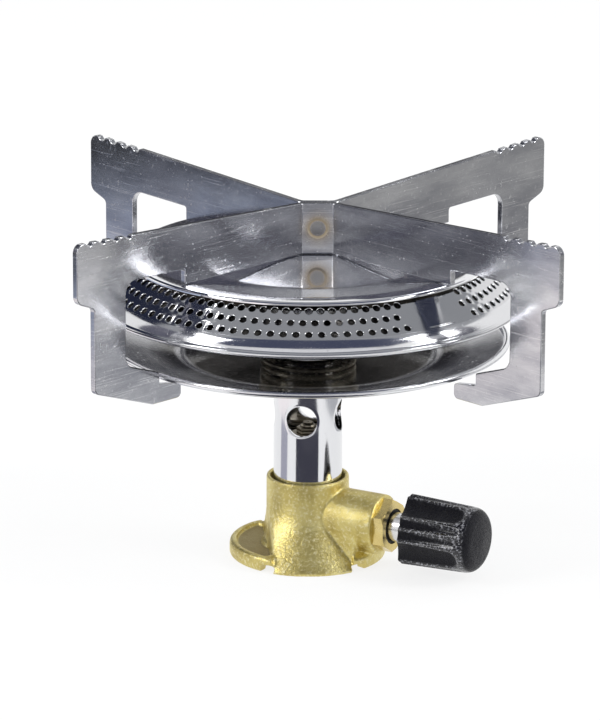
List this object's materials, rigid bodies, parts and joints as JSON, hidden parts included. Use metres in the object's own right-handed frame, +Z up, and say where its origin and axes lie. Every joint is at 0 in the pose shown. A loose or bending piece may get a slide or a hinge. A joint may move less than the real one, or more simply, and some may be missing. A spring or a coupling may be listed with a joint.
{
  "type": "camping stove burner",
  "caption": "Small screw-on gas stove burner with a brass valve body, side knob, mixing tube, round burner head, sprung tray and a cross-shaped sheet pot support.",
  "frame": {"origin": "mouth of the cartridge socket, on the burner's axis, at the base's underside", "axes": "+Z up along the mixing tube to the burner head, -Y to the front, +X to the right seen from the front"},
  "size_m": [0.107, 0.101, 0.0869],
  "materials": {
    "brass": "as forged, fine grained",
    "stainless": "polished",
    "chrome": "polished",
    "spring_steel": "drawn wire",
    "rubber": "matte",
    "knob_plastic": "semi-gloss",
    "filter_metal": "sintered"
  },
  "bodies": {
    "stove": {"valve_body": "brass", "cartridge_seal": "rubber", "depressor_pin": "brass", "jet_holder": "brass", "gas_jet": "brass", "jet_filter": "filter_metal", "mixing_tube": "chrome", "head_nut": "stainless", "burner_bowl": "stainless", "flame_ring": "stainless", "top_disc": "stainless", "gland_nut": "brass", "gland_packing": "rubber", "gland_washer": "stainless", "dust_ring": "rubber", "tray_spring": "spring_steel"},
    "spindle_carriage": {"seat_disc": "rubber"},
    "knob": {"valve_spindle": "stainless", "control_knob": "knob_plastic"},
    "tray": {"tray": "stainless"},
    "pot_support": {"support_front": "stainless", "support_rear": "stainless"}
  },
  "joints": [
    {"name": "spindle_travel", "type": "slide", "parent": "stove", "child": "spindle_carriage", "axis": [0.8746, -0.4848, 0], "range_m": [0, 0.00112]},
    {"name": "knob_turn", "type": "hinge", "parent": "spindle_carriage", "child": "knob", "pos_m": [0, 0, 0.01], "axis": [0.8746, -0.4848, 0], "range_deg": [0, 540]},
    {"name": "tray_press", "type": "slide", "parent": "stove", "child": "tray", "axis": [0, 0, 1], "range_m": [0, 0.002], "stiffness_N_per_m": 1500, "springref_m": -0.002, "deforming": ["tray_spring"]},
    {"name": "support_turn", "type": "hinge", "parent": "stove", "child": "pot_support", "pos_m": [0, 0, 0.0719], "axis": [0, 0, 1], "continuous": true}
  ],
  "couplings": [
    {"joint": "knob_turn", "follows": "spindle_travel", "rad_per_m": 8377.6}
  ]
}
